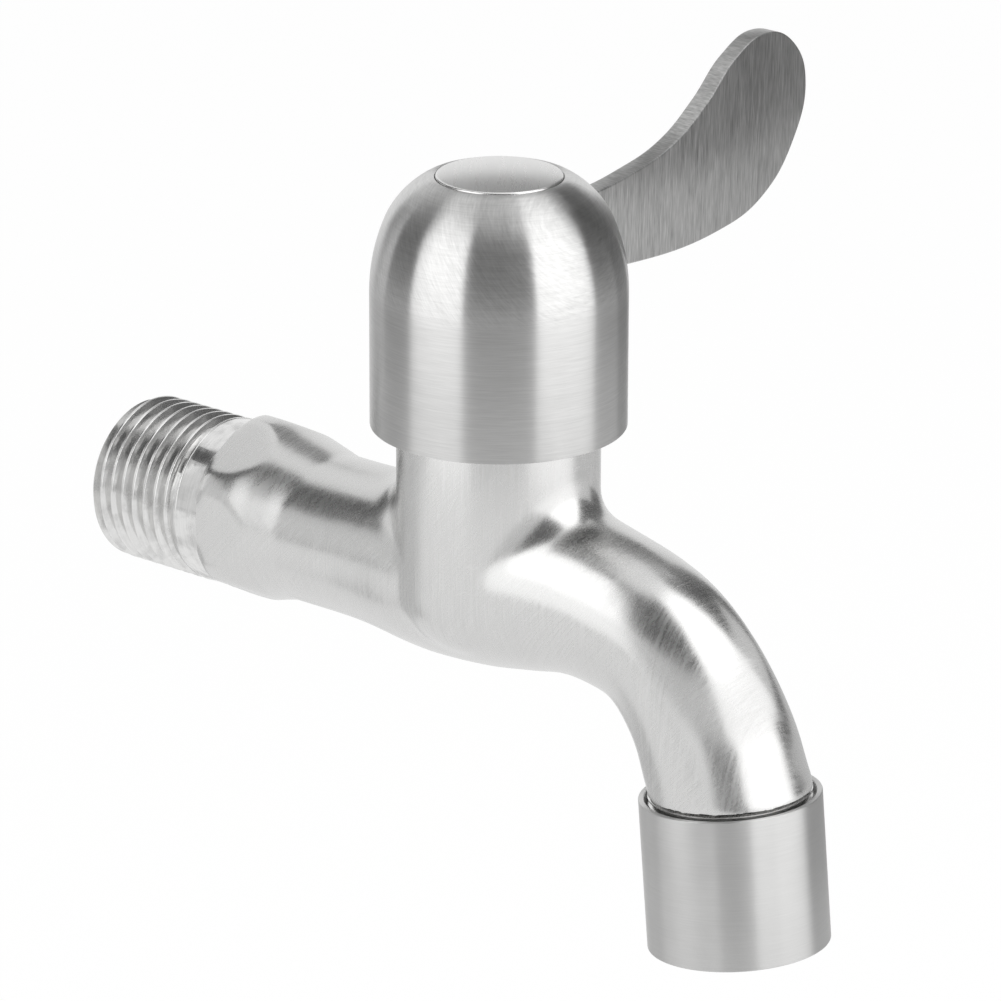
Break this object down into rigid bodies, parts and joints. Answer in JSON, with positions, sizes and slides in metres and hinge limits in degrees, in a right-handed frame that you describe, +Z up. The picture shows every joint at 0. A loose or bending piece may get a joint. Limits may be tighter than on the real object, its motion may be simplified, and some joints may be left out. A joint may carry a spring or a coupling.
{
  "type": "wall-mounted bib tap",
  "caption": "Wall-mounted quarter-turn tap with a threaded inlet, a blended cast body and curved spout, a domed handle cap with a flat lever, and a screw-on outlet sleeve.",
  "frame": {"origin": "on the inlet's axis at the wall's face, where a fitting screwed on to the thread stops", "axes": "+X from the wall towards the spout, +Z up along the valve's axis, +Y towards the open lever"},
  "size_m": [0.1086, 0.0734, 0.0969],
  "materials": {
    "cast_steel": "satin brushed along the tube and the spout, with fine scratches",
    "cap_steel": "satin brushed around the axis",
    "blade_steel": "satin brushed across the plate, with brighter edges",
    "button_steel": "fine satin with a polished rim",
    "sleeve_steel": "soft satin, brushed around the axis",
    "valve_brass": "turned and bright",
    "seal_rubber": "matt",
    "ceramic": "lapped ceramic",
    "white_acetal": "moulded",
    "spring_steel": "bright"
  },
  "bodies": {
    "fixed_body": {"body": "cast_steel", "valve_housing": "valve_brass", "bonnet_gasket": "seal_rubber", "seat_seal": "seal_rubber", "fixed_disc": "ceramic", "thrust_washer": "white_acetal", "outlet_sleeve": "sleeve_steel", "outlet_washer": "seal_rubber", "strainer_screen": "spring_steel", "insert_cage": "white_acetal", "flow_straightener": "white_acetal"},
    "handle": {"handle_cap": "cap_steel", "lever_blade": "blade_steel", "index_button": "button_steel", "spline_bush": "valve_brass", "handle_screw": "spring_steel", "screw_washer": "spring_steel", "spindle": "valve_brass", "moving_disc": "ceramic", "lower_spindle_ring": "seal_rubber", "upper_spindle_ring": "seal_rubber", "retaining_ring": "spring_steel"}
  },
  "joints": [
    {"name": "handle_turn", "type": "hinge", "parent": "fixed_body", "child": "handle", "pos_m": [0.04653, 0, 0], "axis": [0, 0, 1], "range_deg": [-90, 0]}
  ]
}
